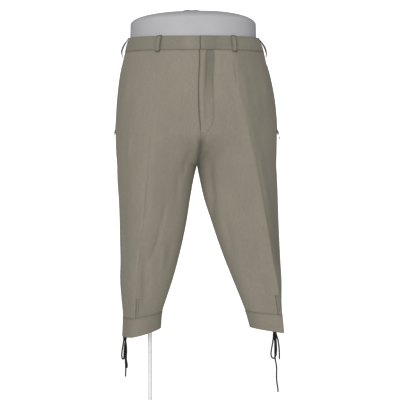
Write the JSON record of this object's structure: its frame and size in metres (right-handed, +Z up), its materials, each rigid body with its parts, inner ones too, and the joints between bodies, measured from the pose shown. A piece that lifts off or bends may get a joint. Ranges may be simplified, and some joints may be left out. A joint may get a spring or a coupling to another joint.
{
  "type": "three-quarter trousers on a dress form",
  "caption": "Wool three-quarter trousers with cuffs tied by laces, on a limbless dress form with a rod and a round base.",
  "frame": {"origin": "middle of the underside of the stand's base, on the floor", "axes": "+Z up, -Y towards the front of the trousers, +X towards the wearer's left"},
  "size_m": [0.4256, 0.36, 1.0748],
  "materials": {
    "wool": "matte",
    "form_shell": "satin",
    "black_steel": "satin",
    "bright_steel": "satin",
    "white_steel": "satin",
    "zip_metal": "satin",
    "leather": "matte"
  },
  "bodies": {
    "trousers_on_form": {"front_right": "wool", "back_right": "wool", "waistband_right": "wool", "cuff_right": "wool", "tuck_right": "wool", "pocket_zip_right": "zip_metal", "zip_slider_right": "zip_metal", "lace_knot_right": "leather", "lace_loop_right": "leather", "lace_short_end_right": "leather", "lace_long_end_right": "leather", "front_left": "wool", "back_left": "wool", "waistband_left": "wool", "cuff_left": "wool", "tuck_left": "wool", "pocket_zip_left": "zip_metal", "zip_slider_left": "zip_metal", "lace_knot_left": "leather", "lace_loop_left": "leather", "lace_short_end_left": "leather", "lace_long_end_left": "leather", "belt_loop_front_right": "wool", "belt_loop_front_left": "wool", "belt_loop_side_right": "wool", "belt_loop_side_left": "wool", "belt_loop_back_right": "wool", "belt_loop_back_left": "wool", "belt_loop_back_centre": "wool", "fly": "wool", "dress_form": "form_shell", "form_cap": "black_steel", "form_cap_stud": "bright_steel", "stand_flange": "white_steel", "stand_rod": "white_steel", "stand_base": "white_steel"},
    "pull_right": {"zip_pull_right": "zip_metal"},
    "pull_left": {"zip_pull_left": "zip_metal"}
  },
  "joints": [
    {"name": "right_pull_hinge", "type": "hinge", "parent": "trousers_on_form", "child": "pull_right", "pos_m": [-0.1978, 0, 0.769], "axis": [0, 1, 0], "range_deg": [-2, 150]},
    {"name": "left_pull_hinge", "type": "hinge", "parent": "trousers_on_form", "child": "pull_left", "pos_m": [0.213, 0, 0.769], "axis": [0, -1, 0], "range_deg": [-11, 140]}
  ]
}
